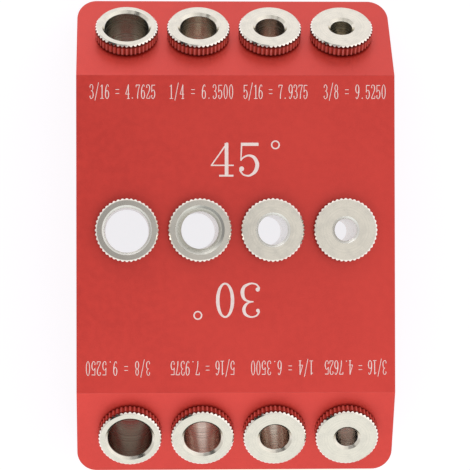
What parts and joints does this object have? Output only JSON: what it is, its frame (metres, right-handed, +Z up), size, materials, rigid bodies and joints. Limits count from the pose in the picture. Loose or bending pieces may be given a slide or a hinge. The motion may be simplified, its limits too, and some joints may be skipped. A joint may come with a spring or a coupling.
{
  "type": "drill guide",
  "caption": "Block-shaped drill guide with a flat top and two sloping ends, each face holding a row of knurled drill bushings that lift out.",
  "frame": {"origin": "middle of the block's underside", "axes": "+Z up out of the flat top, +Y towards the 45 degree end, +X along a row from the widest bore to the narrowest"},
  "size_m": [0.068, 0.1024, 0.033],
  "materials": {
    "red_anodised": "bead-blasted, red anodised",
    "plated_steel": "bright nickel plate over turned steel",
    "laser_mark": "pale laser mark in the anodising"
  },
  "bodies": {
    "block": {"guide_block": "red_anodised"},
    "bushing_45deg_3_8in": {"bushing_45deg_3_8in": "plated_steel"},
    "bushing_45deg_5_16in": {"bushing_45deg_5_16in": "plated_steel"},
    "bushing_45deg_1_4in": {"bushing_45deg_1_4in": "plated_steel"},
    "bushing_45deg_3_16in": {"bushing_45deg_3_16in": "plated_steel"},
    "bushing_90deg_3_8in": {"bushing_90deg_3_8in": "plated_steel"},
    "bushing_90deg_5_16in": {"bushing_90deg_5_16in": "plated_steel"},
    "bushing_90deg_1_4in": {"bushing_90deg_1_4in": "plated_steel"},
    "bushing_90deg_3_16in": {"bushing_90deg_3_16in": "plated_steel"},
    "bushing_30deg_3_8in": {"bushing_30deg_3_8in": "plated_steel"},
    "bushing_30deg_5_16in": {"bushing_30deg_5_16in": "plated_steel"},
    "bushing_30deg_1_4in": {"bushing_30deg_1_4in": "plated_steel"},
    "bushing_30deg_3_16in": {"bushing_30deg_3_16in": "plated_steel"}
  },
  "joints": [
    {"name": "lift_45deg_3_8in", "type": "slide", "parent": "block", "child": "bushing_45deg_3_8in", "axis": [0, 0.7071, 0.7071], "range_m": [0, 0.03]},
    {"name": "lift_45deg_5_16in", "type": "slide", "parent": "block", "child": "bushing_45deg_5_16in", "axis": [0, 0.7071, 0.7071], "range_m": [0, 0.03]},
    {"name": "lift_45deg_1_4in", "type": "slide", "parent": "block", "child": "bushing_45deg_1_4in", "axis": [0, 0.7071, 0.7071], "range_m": [0, 0.03]},
    {"name": "lift_45deg_3_16in", "type": "slide", "parent": "block", "child": "bushing_45deg_3_16in", "axis": [0, 0.7071, 0.7071], "range_m": [0, 0.03]},
    {"name": "lift_90deg_3_8in", "type": "slide", "parent": "block", "child": "bushing_90deg_3_8in", "axis": [0, 0, 1], "range_m": [0, 0.03]},
    {"name": "lift_90deg_5_16in", "type": "slide", "parent": "block", "child": "bushing_90deg_5_16in", "axis": [0, 0, 1], "range_m": [0, 0.03]},
    {"name": "lift_90deg_1_4in", "type": "slide", "parent": "block", "child": "bushing_90deg_1_4in", "axis": [0, 0, 1], "range_m": [0, 0.03]},
    {"name": "lift_90deg_3_16in", "type": "slide", "parent": "block", "child": "bushing_90deg_3_16in", "axis": [0, 0, 1], "range_m": [0, 0.03]},
    {"name": "lift_30deg_3_8in", "type": "slide", "parent": "block", "child": "bushing_30deg_3_8in", "axis": [0, -0.5, 0.866], "range_m": [0, 0.03]},
    {"name": "lift_30deg_5_16in", "type": "slide", "parent": "block", "child": "bushing_30deg_5_16in", "axis": [0, -0.5, 0.866], "range_m": [0, 0.03]},
    {"name": "lift_30deg_1_4in", "type": "slide", "parent": "block", "child": "bushing_30deg_1_4in", "axis": [0, -0.5, 0.866], "range_m": [0, 0.03]},
    {"name": "lift_30deg_3_16in", "type": "slide", "parent": "block", "child": "bushing_30deg_3_16in", "axis": [0, -0.5, 0.866], "range_m": [0, 0.03]}
  ]
}
